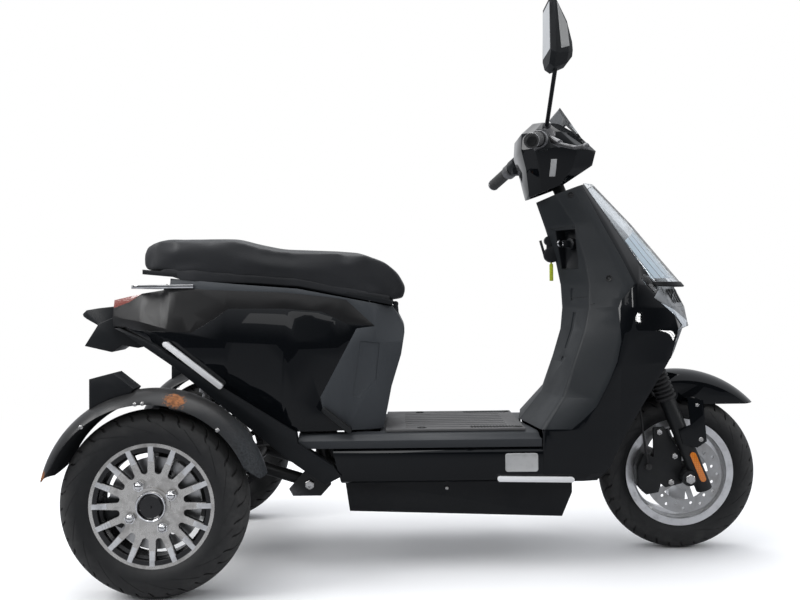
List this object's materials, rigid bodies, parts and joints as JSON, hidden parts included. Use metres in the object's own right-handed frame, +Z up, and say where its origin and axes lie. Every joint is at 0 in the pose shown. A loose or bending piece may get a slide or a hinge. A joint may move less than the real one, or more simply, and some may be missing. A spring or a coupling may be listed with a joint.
{
  "type": "electric trike",
  "caption": "Sit-on electric delivery and leisure trike with a step-through floor, long seat, alloy wheels and steered front fork.",
  "frame": {"origin": "on the ground, at the centre of the box in plan", "axes": "+X forward, +Y to the rider's left, +Z up"},
  "size_m": [1.774, 0.73, 1.3439],
  "materials": {
    "tyre": "matt",
    "rim_alloy": "satin",
    "hub_black": "gloss",
    "disc_steel": "brushed",
    "cast_black": "satin",
    "chrome": "polished",
    "matt_black": "matt",
    "gloss_black": "gloss",
    "nose_grey": "satin",
    "rubber": "matt",
    "mat_rubber": "matt",
    "seat_leather": "matt",
    "lens_clear": "gloss",
    "lens_red": "gloss",
    "lens_amber": "gloss",
    "lamp_white": "gloss",
    "frame_black": "satin",
    "fender_dark": "worn"
  },
  "bodies": {
    "chassis": {"axle_housing": "frame_black", "bag_hook": "matt_black", "battery_box": "matt_black", "fender_lamps": "matt_black", "floor_board": "matt_black", "floor_mat": "mat_rubber", "footrests": "chrome", "front_fairing": "gloss_black", "grab_rail": "chrome", "headlight": "lamp_white", "ignition_lock": "chrome", "leg_shield": "matt_black", "light_strips": "lamp_white", "lower_beams": "matt_black", "main_frame": "frame_black", "nose_panel": "nose_grey", "pedestal": "matt_black", "rear_calipers": "cast_black", "rear_fenders": "fender_dark", "shocks": "chrome", "side_panels": "gloss_black", "side_skirts": "gloss_black", "storage_bucket": "matt_black", "swing_frame": "frame_black", "tail_cowl": "matt_black", "tail_lamp": "lens_red", "tail_mudguard": "matt_black", "turn_lamps": "lens_clear", "visor": "lens_clear"},
    "front_wheel": {"front_tyre": "tyre", "front_rim": "rim_alloy", "front_disc": "disc_steel"},
    "rear_wheel_left": {"rear_tyre_left": "tyre", "rear_rim_left": "rim_alloy", "rear_hub_left": "hub_black", "rear_disc_left": "disc_steel"},
    "rear_wheel_right": {"rear_tyre_right": "tyre", "rear_rim_right": "rim_alloy", "rear_hub_right": "hub_black", "rear_disc_right": "disc_steel"},
    "steering": {"front_axle": "chrome", "fork": "cast_black", "fork_gaiters": "rubber", "front_caliper": "cast_black", "front_fender": "gloss_black", "handlebar": "frame_black", "grips": "rubber", "levers": "cast_black", "handlebar_pod": "gloss_black", "flyscreen": "lens_clear", "mirror_right": "matt_black", "brake_hose": "rubber", "fork_reflectors": "lens_amber", "switch_housings": "matt_black"},
    "seat": {"seat_base": "matt_black", "seat_cushion": "seat_leather"}
  },
  "joints": [
    {"name": "steering_turn", "type": "hinge", "parent": "chassis", "child": "steering", "pos_m": [0.683, 0, 0.204], "axis": [-0.3746, 0, 0.9272], "range_deg": [-38, 38]},
    {"name": "front_wheel_spin", "type": "hinge", "parent": "steering", "child": "front_wheel", "pos_m": [0.683, 0, 0.204], "axis": [0, 1, 0], "continuous": true},
    {"name": "rear_wheel_left_spin", "type": "hinge", "parent": "chassis", "child": "rear_wheel_left", "pos_m": [-0.606, 0.303, 0.214], "axis": [0, 1, 0], "continuous": true},
    {"name": "rear_wheel_right_spin", "type": "hinge", "parent": "chassis", "child": "rear_wheel_right", "pos_m": [-0.606, -0.303, 0.214], "axis": [0, 1, 0], "continuous": true},
    {"name": "seat_lid", "type": "hinge", "parent": "chassis", "child": "seat", "pos_m": [-0.058, 0, 0.655], "axis": [0, 1, 0], "range_deg": [0, 75]}
  ]
}
